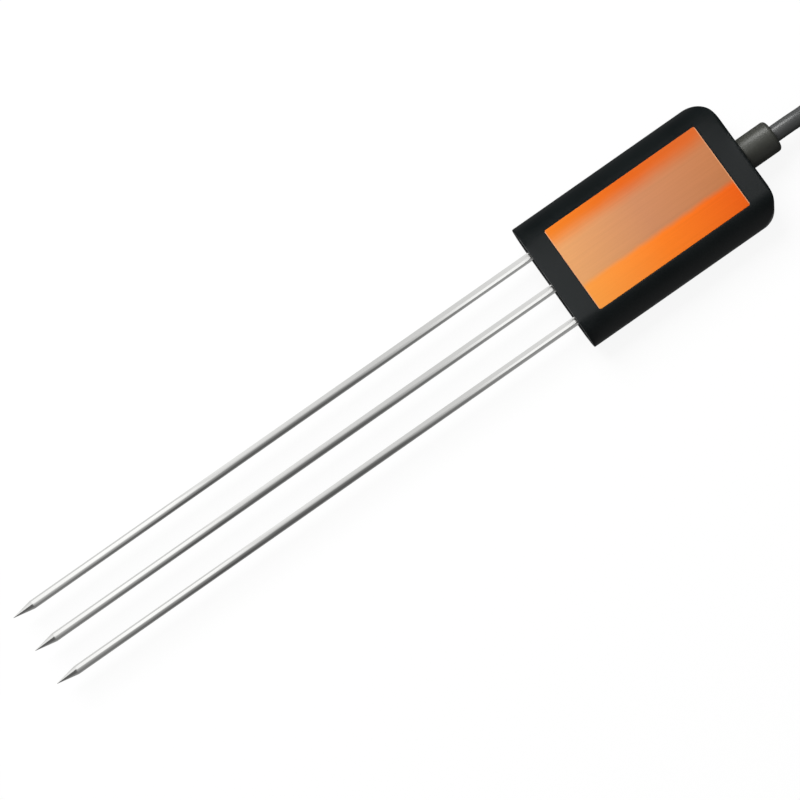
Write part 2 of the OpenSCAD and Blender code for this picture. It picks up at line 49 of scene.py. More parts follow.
def linearColour(hexText):  # sRGB hex to the linear values that shaders take
    parts = [int(hexText[i:i + 2], 16) / 255 for i in (1, 3, 5)]
    return tuple(c / 12.92 if c <= 0.04045 else ((c + 0.055) / 1.055) ** 2.4 for c in parts) + (1,)


def fillInputs(tree, node, inputs):  # sockets are linked, plain values are set
    for name, value in inputs.items():
        if isinstance(value, bpy.types.NodeSocket):
            tree.links.new(value, node.inputs[name])
        else:
            node.inputs[name].default_value = value


def addNode(tree, kind, inputs=None, give=0, **settings):  # one node, filled in and linked
    made = tree.nodes.new(kind)
    for name, value in settings.items():
        setattr(made, name, value)
    fillInputs(tree, made, inputs or {})
    return made if give is None else made.outputs[give]  # most often its first output


def startMaterial(name):
    material = bpy.data.materials.new(name)
    material.use_nodes = True
    return material, material.node_tree, material.node_tree.nodes["Principled BSDF"]


def addObject(name, data):
    made = bpy.data.objects.new(name, data)
    scene.collection.objects.link(made)
    return made


def dress(mesh, material):
    mesh.materials.clear()
    mesh.materials.append(material)


def newPiece(name, mesh, material=None, sharpAngle=35):
    piece = addObject(name, mesh)
    if material:
        dress(mesh, material)
    mesh.polygons.foreach_set("use_smooth", [True] * len(mesh.polygons))
    mesh.set_sharp_from_angle(angle=radians(sharpAngle))
    return piece


def finishPiece(piece, slot, *nodes):  # rides on the one body and stands for its CAD nodes
    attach(piece, "root")
    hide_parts(*nodes)
    return piece


def bakeModifiers(piece, sharpAngle):  # what the modifiers make becomes a plain mesh
    graph = bpy.context.evaluated_depsgraph_get()
    mesh = bpy.data.meshes.new_from_object(piece.evaluated_get(graph), depsgraph=graph)
    piece.modifiers.clear()
    piece.data = mesh
    mesh.set_sharp_from_angle(angle=radians(sharpAngle))
    return piece


def growOnPath(name, points, tree, inputs, sharpAngle=40):  # a node tree's result along a line of points
    mesh = bpy.data.meshes.new(name)
    mesh.from_pydata([tuple(p * mm) for p in points], [(i, i + 1) for i in range(len(points) - 1)], [])
    piece = addObject(name, mesh)
    modifier = piece.modifiers.new(name, "NODES")
    modifier.node_group = tree
    for item in tree.interface.items_tree:
        if item.item_type == "SOCKET" and item.in_out == "INPUT" and item.name in inputs:
            modifier[item.identifier] = inputs[item.name]
    return bakeModifiers(piece, sharpAngle)


# view: the photograph's, along the needles' direction
view = {
    "target": (-96.67, -1.15, 7.5),
    "elevation": 79.7,
    "roll": 34.97,
    "distance": 1200,
    "pixelsPerMm": 3.16,  # at the target
    "framePixels": 800,
    "sensor": 36,
    "clipEnd": 20,        # metres
}


def aimCamera():
    elevation, roll = radians(view["elevation"]), radians(view["roll"])
    back = Vector((0, -cos(elevation), sin(elevation)))
    level = Vector((1, 0, 0))
    upright = back.cross(level)
    across = level * cos(roll) - upright * sin(roll)
    upwards = level * sin(roll) + upright * cos(roll)
    lens = bpy.data.cameras.new("camera")
    lens.sensor_width = view["sensor"]
    lens.lens = view["pixelsPerMm"] * view["distance"] * view["sensor"] / view["framePixels"]
    lens.clip_end = view["clipEnd"]
    camera = addObject("camera", lens)
    turn = Matrix((across, upwards, back)).transposed().to_4x4()
    camera.matrix_world = Matrix.Translation((Vector(view["target"]) + back * view["distance"]) * mm) @ turn
    scene.camera = camera


aimCamera()
print("camera set")

# studio: white surround, one large soft lamp, and cards that only reflections show
studio = {
    "fill": 0.3,           # surround's light on matt surfaces
    "lampWatts": 24.2,
    "lampSize": 1.0,       # metres, as are the next and the floor's sizes
    "lampPlace": (-0.15, 0.95, 1.15),
    "floorReach": 4,
    "floorDrop": 0.0002,   # just under the part
    "floorColour": "#595959",
    "floorRoughness": 0.95,
    "floorLift": 0.905,    # brings the lit floor up to white where the camera sees it
}
# cards round the housing: rows from the bottom up, each with its two ends and its light, 1 being white
cards = {
    "flagRight": (((66, -44, 0), (-130, -44, 0), 0.22), ((66, -44, 14), (-130, -44, 14), 0.2),
                  ((66, -44, 36), (-130, -44, 36), 0.006), ((125, -30, 500), (-130, -30, 500), 0.015)),
    "flagLeft": (((-125, 60, 0), (66, 60, 0), 0.08), ((-125, 60, 16), (66, 60, 16), 0.05),
                 ((-125, 60, 36), (66, 60, 36), 0.01), ((-125, 60, 140), (72, 60, 140), 0.02)),
    "flagEnd": (((66, 62, 0), (66, -44, 0), 0.05), ((72, 62, 150), (72, -44, 150), 0.02)),
    "floorCard": (((-125, -44, 0.2), (37, -44, 0.2), 0.22), ((-125, 62, 0.2), (37, 62, 0.2), 0.12)),
    "floorEnd": (((37, -44, 0.2), (66, -44, 0.2), 0.03), ((37, 62, 0.2), (66, 62, 0.2), 0.1)),
    "softbox": (((39, 26, 21.5), (70, 26, 31), 7.5), ((39, 26, 39.5), (70, 26, 51), 7.5)),
    "screen": (((36.9, 40, 8), (36.9, 8, 8), 0.02),  # keeps the softbox off the housing
               ((36.9, 40, 60), (36.9, 8, 60), 0.02)),
}
# two more, in the rim of the housing's mouth and along its curve, keep the tent's light off the housing
rimScreens = {
    "x": -36.6,
    "right": (-44, 0.006),  # outer side and light
    "left": (60, 0.01),
    "inner": ((7.5, 22.5), (12.6, 20.4), (14.6, 15), (110, 15)),  # height, and distance from the middle
}
# tent of cards over the needles, its sizes as for a small one round a needle and then spread
tent = {
    "spread": 6.5,
    "half": 6.2,        # from the middle to the foot of each wall
    "foot": -0.7,       # under the needles' axis
    "stripFloor": 0.3,  # strips on the floor beside each needle: height, lip over the axis
    "lip": 2.5,
    "underside": 0.45,  # and light under the needle's dark side
    # place from tips (0) to roots (1); the bright wall's edge, sideways and up, its light at foot and edge;
    # the same for the dark wall; the roof's light at both edges
    "places": (
        (-0.5, (4.2, 20), 0.8, 0.9, (3.8, 20), 0.1, 0.13, 0.5, 0.5),
        (-0.015, (4.2, 20), 0.8, 0.9, (3.8, 20), 0.1, 0.13, 0.5, 0.5),
        (0.025, (6.2, -0.69), 0.66, 0.66, (-1, 28), 0.17, 0.95, 1, 0.95),
        (0.17, (6.2, -0.69), 0.66, 0.66, (-1, 28), 0.1, 0.97, 1.1, 1),
        (0.3, (6.2, -0.69), 0.66, 0.66, (-1, 28), 0.05, 0.8, 1.1, 0.85),
        (0.35, (6.2, 6), 0.8, 0.98, (-1, 28), 0.05, 0.62, 0.98, 0.65),
        (0.42, (6.2, 18), 0.85, 0.62, (-1, 28), 0.07, 0.44, 0.62, 0.44),
        (0.56, (6.2, 18), 0.74, 0.6, (-1, 28), 0.07, 0.42, 0.6, 0.42),
        (0.7, (4, 25), 0.66, 0.58, (-6.2, 9), 0.09, 0.34, 0.56, 0.36),
        (0.78, (4, 25), 0.65, 0.66, (-6.2, 6), 0.13, 0.3, 0.67, 0.5),
        (0.9, (0.6, 25), 0.7, 0.7, (-6.2, 4.4), 0.25, 0.25, 1, 1),
        (1.0015, (1.5, 12), 0.76, 0.76, (-6.2, 4), 0.28, 0.28, 1, 1),
    ),
}


def seenRays(tree):  # 1 where the camera looks, straight or by way of gloss or glass
    ray = addNode(tree, "ShaderNodeLightPath", give=None).outputs
    seen = addNode(tree, "ShaderNodeMath", {0: ray["Is Camera Ray"], 1: ray["Is Glossy Ray"]})
    return addNode(tree, "ShaderNodeMath", {0: seen, 1: ray["Is Transmission Ray"]}, use_clamp=True)


def lightStudio():
    world = bpy.data.worlds.new("surround")
    scene.world = world
    world.use_nodes = True
    tree = world.node_tree
    level = addNode(tree, "ShaderNodeMix", {0: seenRays(tree), 2: studio["fill"], 3: 1.0})
    fillInputs(tree, tree.nodes["Background"], {"Color": (1, 1, 1, 1), "Strength": level})
    lamp = bpy.data.lights.new("softLamp", "AREA")
    lamp.energy = studio["lampWatts"]
    lamp.size = studio["lampSize"]
    lampObject = addObject("softLamp", lamp)
    lampObject.location = studio["lampPlace"]
    towards = Vector(view["target"]) * mm - lampObject.location
    lampObject.rotation_euler = towards.to_track_quat("-Z", "Y").to_euler()
    lampObject.visible_glossy = False


def paperFloor():  # grey backing paper, lifted to white where the camera or a reflection sees it
    material, tree, shader = startMaterial("backingPaper")
    lift = addNode(tree, "ShaderNodeMath", {0: seenRays(tree), 1: studio["floorLift"]},
                   operation="MULTIPLY")
    fillInputs(tree, shader, {
        "Base Color": linearColour(studio["floorColour"]), "Roughness": studio["floorRoughness"],
        "Specular IOR Level": 0, "Emission Color": (1, 1, 1, 1), "Emission Strength": lift})
    return material


def hangCard(name, rows):  # rows of points with their light, shining to one side only
    mesh = bpy.data.meshes.new(name)
    count = len(rows[0])
    faces = [(r * count + i, r * count + i + 1, (r + 1) * count + i + 1, (r + 1) * count + i)
             for r in range(len(rows) - 1) for i in range(count - 1)]
    mesh.from_pydata([Vector(point) * mm for row in rows for point, light in row], [], faces)
    glow = mesh.attributes.new("glow", "FLOAT", "POINT")
    glow.data.foreach_set("value", [light for row in rows for point, light in row])
    material, tree, shader = startMaterial(name)
    light = addNode(tree, "ShaderNodeAttribute", give="Fac", attribute_name="glow")
    lit = addNode(tree, "ShaderNodeEmission", {"Strength": light})
    behind = addNode(tree, "ShaderNodeNewGeometry", give="Backfacing")
    clear = addNode(tree, "ShaderNodeBsdfTransparent")
    sides = addNode(tree, "ShaderNodeMixShader", {0: behind, 1: lit, 2: clear})
    tree.links.new(sides, tree.nodes["Material Output"].inputs["Surface"])
    tree.nodes.remove(shader)
    mesh.materials.append(material)
    card = addObject(name, mesh)
    for kind in ("camera", "diffuse", "shadow", "transmission"):
        setattr(card, "visible_" + kind, False)


def hangTent():
    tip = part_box("needle_centre")[0].x / mm
    root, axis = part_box("housing_shell")[0].x / mm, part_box("housing_shell")[1].z / mm / 2
    half, foot, floor, under = (tent[name] for name in ("half", "foot", "stripFloor", "underside"))
    bright, roof, dark = ([[], []] for i in range(3))
    middles = [sum(corner.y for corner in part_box(node)) / 2 / mm
               for node in ("needle_left", "needle_centre", "needle_right")]
    strips = [(middle, side, [[], [], []]) for middle in middles for side in (1, -1)]
    for place, brightEdge, low, high, darkEdge, darkLow, darkHigh, roofBright, roofDark in tent["places"]:
        x = tip + place * (root - tip)
        lean = (x - view["target"][0]) / view["distance"]  # along the camera's rays
        sections = ((bright, ((half, foot), low), (brightEdge, high)),
                    (roof, (brightEdge, roofBright), (darkEdge, roofDark)),
                    (dark, ((-half, foot), darkLow), (darkEdge, darkHigh)))
        for rows, *ends in sections:
            for row, ((across, up), light) in zip(rows, ends):
                across, up = across * tent["spread"], up * tent["spread"]
                row.append(((x + lean * up, across, axis + up), light))
        for middle, side, rows in strips:
            lights = (low, low, low) if side > 0 else (under, (under + darkLow) / 2, darkLow)
            spots = ((0, floor), (side * half, floor), (side * half, axis + tent["lip"]))
            for row, (across, up), light in zip(rows, spots, lights):
                row.append(((x, middle + across, up), light))
    hangCard("brightWall", bright)
    hangCard("roof", roof)
    hangCard("darkWall", [row[::-1] for row in dark])
    for middle, side, rows in strips:
        hangCard("strip", rows if side > 0 else [row[::-1] for row in rows])


def setStage():
    lightStudio()
    reach, height = studio["floorReach"], -studio["floorDrop"]
    mesh = bpy.data.meshes.new("floor")
    corners = ((-1, -1), (1, -1), (1, 1), (-1, 1))
    mesh.from_pydata([(reach * x, reach * y, height) for x, y in corners], [], [(0, 1, 2, 3)])
    mesh.materials.append(paperFloor())
    addObject("floor", mesh)
    x, (right, rightLight), (left, leftLight) = (rimScreens[name] for name in ("x", "right", "left"))
    inner = rimScreens["inner"]
    screens = {"screenRight": [((x, right, up), (x, -y, up), rightLight) for up, y in inner],
               "screenLeft": [((x, y, up), (x, left, up), leftLight) for up, y in inner]}
    for name, rows in (cards | screens).items():
        hangCard(name, [[(start, light), (end, light)] for start, end, light in rows])
    hangTent()


setStage()
print("studio set")

# finishes that show: gloss is a span of the pattern and the roughness at its two ends, a pattern is its size
# and noise detail, bump is strength and depth
absFinish = {  # ABS moulded in a spark-textured tool: black, satin, with an even fine grain
    "tones": ("#0d1112", "#151a1b"),
    "gloss": (0.3, 0.7, 0.36, 0.46),
    "grain": (0.5, 2),  # really about 0.1 mm, drawn coarser so that it shows
    "marks": (16, 4),
    "bump": (0.25, 0.02),
    "IOR": 1.47,
}
rubberFinish = {  # soft PVC moulded on the cable: warm dark grey, matt, slightly uneven
    "tones": ("#393a36", "#444540"),
    "gloss": (0, 1, 0.38, 0.46),
    "grain": (0.4, 2),
    "marks": (5, 3),
    "bump": (0.2, 0.03),
    "IOR": 1.5,
}
pvcFinish = {  # PVC extruded as a sleeve: smooth, with faint lines along its length
    "gloss": (0, 1, 0.32, 0.36),
    "lines": (0.5, 3),
    "lineStretch": 0.03,
    "patches": (6, 2),
    "bump": (0.03, 0.02),
    "IOR": 1.53,
}
steelFinish = {  # stainless rod, drawn and polished: bright, with faint lines along its length
    "tones": ("#f4f4f2", "#fafaf8"),
    "gloss": (0, 1, 0.1, 0.14),
    "lines": (0.15, 2),
    "lineStretch": 0.01,
}
grained = {  # small parts: an even fine grain
    "detail": 3,
    "glossSpan": 0.06,
    "strength": 0.2,
    "depth": 0.1,  # as a share of the grain
}


def shadeBy(tree, shader, patterns, tones, gloss, bump, **plain):  # tone, gloss and bump
    toned, glossed, bumped = patterns
    dark, light = (linearColour(tone) for tone in tones)
    tone = addNode(tree, "ShaderNodeMix", {0: toned, 6: dark, 7: light}, give=2, data_type="RGBA")
    spans = dict(zip(("From Min", "From Max", "To Min", "To Max"), gloss))
    roughness = addNode(tree, "ShaderNodeMapRange", {"Value": glossed} | spans)
    fillInputs(tree, shader, {"Base Color": tone, "Roughness": roughness} | plain)
    if bump:
        strength, depth = bump[0], bump[1] * mm
        raised = addNode(tree, "ShaderNodeBump", {"Height": bumped, "Strength": strength, "Distance": depth})
        tree.links.new(raised, shader.inputs["Normal"])


def mouldedFinish(name, tones, gloss, grain, marks, bump, **plain):
    material, tree, shader = startMaterial(name)
    place = addNode(tree, "ShaderNodeTexCoord", give="Object")
    fine, broad = (
        addNode(tree, "ShaderNodeTexNoise", {"Vector": place, "Scale": 1 / (size * mm), "Detail": detail})
        for size, detail in (grain, marks))
    shadeBy(tree, shader, (broad, broad, fine), tones, gloss, bump, **plain)
    return material


def grainedFinish(name, dark, light, roughness, metallic, grain):  # even fine grain, for small parts
    gloss = (0, 1, roughness - grained["glossSpan"], roughness + grained["glossSpan"])
    pattern, bump = (grain, grained["detail"]), (grained["strength"], grained["depth"] * grain)
    return mouldedFinish(name, (dark, light), gloss, pattern, pattern, bump, Metallic=metallic)


def extrudedPvc(name, dark, light):
    material, tree, shader = startMaterial(name)
    skin = addNode(tree, "ShaderNodeAttribute", give="Vector", attribute_name="skin")
    stretch = (1, 1, pvcFinish["lineStretch"])
    drawn = addNode(tree, "ShaderNodeMapping", {"Vector": skin, "Scale": stretch})
    kinds = ((drawn, pvcFinish["lines"]), (skin, pvcFinish["patches"]))
    lines, patches = (
        addNode(tree, "ShaderNodeTexNoise", {"Vector": vector, "Scale": 1 / (size * mm), "Detail": detail})
        for vector, (size, detail) in kinds)
    shadeBy(tree, shader, (patches, lines, lines), (dark, light), pvcFinish["gloss"], pvcFinish["bump"],
            IOR=pvcFinish["IOR"])
    return material


def polishedSteel():
    material, tree, shader = startMaterial("polishedStainlessSteel")
    place = addNode(tree, "ShaderNodeTexCoord", give="Object")
    stretch, (size, detail) = (steelFinish["lineStretch"], 1, 1), steelFinish["lines"]
    drawn = addNode(tree, "ShaderNodeMapping", {"Vector": place, "Scale": stretch})
    lines = addNode(tree, "ShaderNodeTexNoise",
                    {"Vector": drawn, "Scale": 1 / (size * mm), "Detail": detail})
    shadeBy(tree, shader, (lines, lines, None), steelFinish["tones"], steelFinish["gloss"], None,
            Metallic=1)
    return material


film = {
    "leftInkAndShade": ("#ef8022", "#df6316", "#d26326"),  # each from the needle end to the cable end, darker towards the cable end: painted shade
    "rightInkAndShade": ("#ffa145", "#ff8224", "#f16314"),
    "tanBandAndShade": ("#e7a46a", "#ca8960", "#c17b4e"),
    "inkBlend": 2,               # left and right inks meet over this much to each side of the middle
    "bandTop": (14.3, 6.8),      # across the label, where the tan band starts and is full
    "bandBottom": (-7.3, -4.8),
    "waver": 0.7,                # of the band's edges
    "waverSize": (7, 2),
    "streaks": (0.7, 3),         # rubbed lines
    "streakStretch": 0.02,
    "streakRoughness": 0.6,      # of the noise
    "streakTone": (0.3, 0.7, 0.97, 1.03),
    "edgeHighlight": (0.4, 0.16),      # painted highlight, a paler line along both ends: where it starts and is full, from the edge
    "edgeHighlightColour": "#e8a578",
    "roughness": 0.5,
    "specular": 0.15,
    "bump": (0.15, 0.01),
}


def printedFilm():  # polyester film printed orange, with a greyed tan band along the length of its middle; painted shade darkens all of it towards the cable end
    material, tree, shader = startMaterial("printedOrangeFilm")
    place = addNode(tree, "ShaderNodeTexCoord", give="Object")
    low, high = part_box("front_label")
    stretch, (size, detail) = (film["streakStretch"], 1, 1), film["streaks"]
    stretched = addNode(tree, "ShaderNodeMapping", {"Vector": place, "Scale": stretch})
    streak = addNode(tree, "ShaderNodeTexNoise", {
        "Vector": stretched, "Scale": 1 / (size * mm), "Detail": detail,
        "Roughness": film["streakRoughness"]})
    size, detail = film["waverSize"]
    cloud = addNode(tree, "ShaderNodeTexNoise",
                    {"Vector": place, "Scale": 1 / (size * mm), "Detail": detail})
    apart = addNode(tree, "ShaderNodeSeparateXYZ", {"Vector": place}, give=None).outputs
    waver, blend = film["waver"] * mm, film["inkBlend"] * mm
    moved = addNode(tree, "ShaderNodeMapRange", {"Value": cloud, "To Min": -waver, "To Max": waver})
    across = addNode(tree, "ShaderNodeMath", {0: apart["Y"], 1: moved})
    top, bottom = (
        addNode(tree, "ShaderNodeMapRange", {"Value": across, "From Min": start * mm, "From Max": full * mm},
                interpolation_type="SMOOTHSTEP")
        for start, full in (film["bandTop"], film["bandBottom"]))
    band = addNode(tree, "ShaderNodeMath", {0: top, 1: bottom}, operation="MULTIPLY")
    along = addNode(tree, "ShaderNodeMapRange",
                    {"Value": apart["X"], "From Min": low.x, "From Max": high.x})
    inksAndShade = []
    # each ramp darkens along the label towards the cable end: painted shade over the print colour
    for hexTexts in (film["leftInkAndShade"], film["rightInkAndShade"], film["tanBandAndShade"]):
        ramp = addNode(tree, "ShaderNodeValToRGB", {"Fac": along}, give=None)
        ramp.color_ramp.elements.new(0.5)
        for element, position, hexText in zip(ramp.color_ramp.elements, (0, 0.5, 1), hexTexts):
            element.position = position
            element.color = linearColour(hexText)
        inksAndShade.append(ramp.outputs["Color"])
    right = addNode(tree, "ShaderNodeMapRange",
                    {"Value": apart["Y"], "From Min": blend, "From Max": -blend})
    inkAndShade = addNode(tree, "ShaderNodeMix", {0: right, 6: inksAndShade[0], 7: inksAndShade[1]}, give=2, data_type="RGBA")
    inkAndShade = addNode(tree, "ShaderNodeMix", {0: band, 6: inkAndShade, 7: inksAndShade[2]}, give=2, data_type="RGBA")
    spans = dict(zip(("From Min", "From Max", "To Min", "To Max"), film["streakTone"]))
    lines = addNode(tree, "ShaderNodeMapRange", {"Value": streak} | spans)
    shaded = addNode(tree, "ShaderNodeVectorMath", {0: inkAndShade, "Scale": lines}, operation="SCALE")
    middle, half = (low.x + high.x) / 2, (high.x - low.x) / 2
    gone = addNode(tree, "ShaderNodeMath", {0: apart["X"], 1: middle}, operation="SUBTRACT")
    gone = addNode(tree, "ShaderNodeMath", {0: gone}, operation="ABSOLUTE")
    # a painted highlight: paler line along both ends of the label
    start, full = (half - inset * mm for inset in film["edgeHighlight"])
    edge = addNode(tree, "ShaderNodeMapRange", {"Value": gone, "From Min": start, "From Max": full})
    shaded = addNode(tree, "ShaderNodeMix", {0: edge, 6: shaded, 7: linearColour(film["edgeHighlightColour"])},
                     give=2, data_type="RGBA")
    strength, depth = film["bump"]
    bump = addNode(tree, "ShaderNodeBump", {"Height": streak, "Strength": strength, "Distance": depth * mm})
    fillInputs(tree, shader, {"Base Color": shaded, "Normal": bump, "Roughness": film["roughness"],
                              "Specular IOR Level": film["specular"]})
    return material


blackAbs = mouldedFinish("mouldedBlackAbs", **absFinish)
orangeFilm = printedFilm()
stainless = polishedSteel()
greyRubber = mouldedFinish("mouldedGreyRubber", **rubberFinish)
greyJacket = extrudedPvc("extrudedGreyPvc", "#4a4b4b", "#545555")
blackNylon = grainedFinish("mouldedBlackNylon", "#141516", "#1e1f21", roughness=0.4, metallic=0, grain=0.4)
tinnedCopper = grainedFinish("tinnedCopper", "#a9adaf", "#c9ccce", roughness=0.3, metallic=1, grain=0.3)
print("finishes made")

# cable: its route is the CAD's, from the strain relief to the coil
cable = {
    "diameter": 5.7,
    "route": ((0, 0, 0), (6, 0, 0), (12.5, 0, 0.15), (18.5, 0.8, 0.5), (24, 3.1, 0.85), (28.8, 6.7, 1),
              (31, 8.9, 1)),  # along, across and share of the drop to the lowest layer
    "routeSteps": 4,       # points on the curve from each of these to the next
    "leadIn": 5.7,         # straight on from there to the coil
    "layers": 4,
    "layerTurns": 2.25,
    "climbTurns": 0.5,     # from one layer up to the next
    "turnStep": 6.3,
    "layerStep": 6.2,
    "coilRadius": 28.45,   # at the middle of the turns
    "lowest": 3.75,        # height of the lowest layer's middle
    "pointsPerTurn": 48,
    "sides": 22,
}
exitPoint = Vector((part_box("strain_relief")[1].x, 0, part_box("housing_shell")[1].z / 2)) / mm


def eased(t):
    return t * t * (3 - 2 * t)


def smoothPath(points, steps):  # a curve through all the points, straight on at both ends
    ends = [2 * points[0] - points[1], *points, 2 * points[-1] - points[-2]]
    made = []
    for a, b, c, d in zip(ends, ends[1:], ends[2:], ends[3:]):
        for i in range(steps):
            t = i / steps
            made.append(0.5 * (2 * b + (c - a) * t + (2 * a - 5 * b + 4 * c - d) * t ** 2
                               + (3 * b - a - 3 * c + d) * t ** 3))
    return made + [points[-1]]


drop = cable["lowest"] - exitPoint.z
runPoints = [exitPoint + Vector((x, y, share * drop)) for x, y, share in cable["route"]]
heading = (runPoints[-1] - runPoints[-2]).normalized()
headingAngle = atan2(heading.y, heading.x)
halfSpread = cable["turnStep"] * cable["layerTurns"] / 2
outerRadius, innerRadius = cable["coilRadius"] + halfSpread, cable["coilRadius"] - halfSpread
coilStart = runPoints[-1] + cable["leadIn"] * heading
coilCentre = coilStart + outerRadius * Vector((sin(headingAngle), -cos(headingAngle), 0))
coilTurns = cable["layers"] * cable["layerTurns"] + (cable["layers"] - 1) * cable["climbTurns"]


def coilAngle(turns):
    return pi / 2 + headingAngle - 2 * pi * turns


def coilAt(radius, angle, height):
    return Vector((coilCentre.x + radius * cos(angle), coilCentre.y + radius * sin(angle), height))


def coilPoint(turns):  # middle of the cable after so many turns: in and out, one layer on the next
    cycle = cable["layerTurns"] + cable["climbTurns"]
    hair = 1e-6  # so that a full cycle counts as one
    layer = min(cable["layers"] - 1, int(turns / cycle + hair))
    done = turns - layer * cycle
    climb = max(0, done - cable["layerTurns"]) / cable["climbTurns"]
    stray = cable["climbTurns"] * climb * (1 - climb)
    inward = cable["turnStep"] * (min(done, cable["layerTurns"]) + stray)
    radius = innerRadius + inward if layer % 2 else outerRadius - inward
    return coilAt(radius, coilAngle(turns), cable["lowest"] + cable["layerStep"] * (layer + eased(climb)))


def startTree(name, inputs):  # inputs by the kind of their sockets
    tree = bpy.data.node_groups.new(name, "GeometryNodeTree")
    for kind, labels in inputs.items():
        for text in labels:
            tree.interface.new_socket(text, in_out="INPUT", socket_type="NodeSocket" + kind)
    tree.interface.new_socket("Result", in_out="OUTPUT", socket_type="NodeSocketGeometry")
    return tree, addNode(tree, "NodeGroupInput", give=None).outputs


def endTree(tree, shape, finish):
    smooth = addNode(tree, "GeometryNodeSetShadeSmooth", {"Geometry": shape})
    real = addNode(tree, "GeometryNodeRealizeInstances", {"Geometry": smooth})
    dressed = addNode(tree, "GeometryNodeSetMaterial", {"Geometry": real, "Material": finish})
    addNode(tree, "NodeGroupOutput", {"Result": dressed}, give=None)
    return tree


def leadTree():  # a round sleeve along a path, with its own lengthwise coordinates
    tree, given = startTree("roundLead", {"Geometry": ("Path",), "Float": ("Diameter",), "Int": ("Sides",),
                                          "Material": ("Finish",)})
    radius = addNode(tree, "ShaderNodeMath", {0: given["Diameter"], 1: 0.5}, operation="MULTIPLY")
    line = addNode(tree, "GeometryNodeMeshToCurve", {"Mesh": given["Path"]})
    length = addNode(tree, "GeometryNodeSplineParameter", give="Length")
    line = addNode(tree, "GeometryNodeStoreNamedAttribute",
                   {"Geometry": line, "Name": "along", "Value": length}, data_type="FLOAT", domain="POINT")
    ring = addNode(tree, "GeometryNodeCurvePrimitiveCircle",
                   {"Resolution": given["Sides"], "Radius": radius})
    spot = addNode(tree, "GeometryNodeInputPosition")
    ring = addNode(tree, "GeometryNodeStoreNamedAttribute",
                   {"Geometry": ring, "Name": "ring", "Value": spot},
                   data_type="FLOAT_VECTOR", domain="POINT")
    sleeve = addNode(tree, "GeometryNodeCurveToMesh",
                     {"Curve": line, "Profile Curve": ring, "Fill Caps": True})
    along = addNode(tree, "GeometryNodeInputNamedAttribute", {"Name": "along"}, data_type="FLOAT")
    around = addNode(tree, "GeometryNodeInputNamedAttribute", {"Name": "ring"}, data_type="FLOAT_VECTOR")
    lengthwise = addNode(tree, "ShaderNodeCombineXYZ", {"Z": along})
    skin = addNode(tree, "ShaderNodeVectorMath", {0: around, 1: lengthwise}, operation="ADD")
    sleeve = addNode(tree, "GeometryNodeStoreNamedAttribute",
                     {"Geometry": sleeve, "Name": "skin", "Value": skin},
                     data_type="FLOAT_VECTOR", domain="POINT")
    return endTree(tree, sleeve, given["Finish"])


roundLead = leadTree()


def layLead(name, points, diameter, sides, finish):
    sizes = {"Diameter": diameter * mm, "Sides": sides}
    return growOnPath(name, points, roundLead, sizes | {"Finish": finish})


coilSteps = round(coilTurns * cable["pointsPerTurn"])
coilLine = [coilPoint(i / cable["pointsPerTurn"]) for i in range(coilSteps + 1)]
endAngle = coilAngle(coilTurns)
endHeading = Vector((sin(endAngle), -cos(endAngle), 0))
endOutward = Vector((cos(endAngle), sin(endAngle), 0))
jacketEnd = coilLine[-1] + cable["leadIn"] * endHeading
cableLine = smoothPath(runPoints, cable["routeSteps"]) + coilLine + [jacketEnd]
jacket = layLead("cableJacket", cableLine, cable["diameter"], cable["sides"], greyJacket)
finishPiece(jacket, "cable_jacket", "cable_run", "cable_coil")

# stripped cores at the cable's end, with tinned ends
cores = {
    "diameter": 1.2,
    "gap": 0.3,
    "length": 38,
    "straight": 2,        # diameters straight out of the jacket
    "tuck": 1,            # and this far inside it
    "spreadShare": 0.2,   # of the length, to spread out, and then to settle
    "settleShare": 0.4,
    "restHeight": 19.7,   # lying on the layer below
    "restStep": 1.3,
    "steps": 30,
    "sides": 14,
    "tinnedDiameter": 0.8,
    "tinnedLength": 7,
    "tinnedSteps": 8,
    "tinnedSides": 12,
    "colours": (("brown", "#5c3820", "#744a2c"), ("black", "#1c1d1f", "#28292c"),
                ("yellow", "#d9b722", "#edcd3a"), ("blue", "#244f98", "#3264b4")),
    "innerFinish": (0.34, 0, 0.5),  # of the cores in the housing: roughness, metallic, grain
}
fullTurn, tinnedTurn = cores["length"] / outerRadius, cores["tinnedLength"] / outerRadius


def coreStart(index, out):  # two above and two below, straight out of the jacket
    spread = (cores["diameter"] + cores["gap"]) / 2
    return (jacketEnd + out * endHeading + (spread if index < 2 else -spread) * endOutward
            + Vector((0, 0, -spread if index % 2 else spread)))


def corePoint(index, turn):  # then along the coil: first side by side, then down on the layer below
    start = coreStart(index, cores["straight"] * cores["diameter"]) - coilCentre
    spreadTurn, settleTurn = cores["spreadShare"] * fullTurn, cores["settleShare"] * fullTurn
    spread = eased(min(1, turn / spreadTurn))
    settle = eased(max(0, min(1, (turn - spreadTurn) / settleTurn)))
    radius = hypot(start.x, start.y)
    middle = (len(cores["colours"]) - 1) / 2
    radius += spread * (outerRadius + (middle - index) * cores["restStep"] - radius)
    height = start.z + coilCentre.z
    return coilAt(radius, atan2(start.y, start.x) - turn, height + settle * (cores["restHeight"] - height))


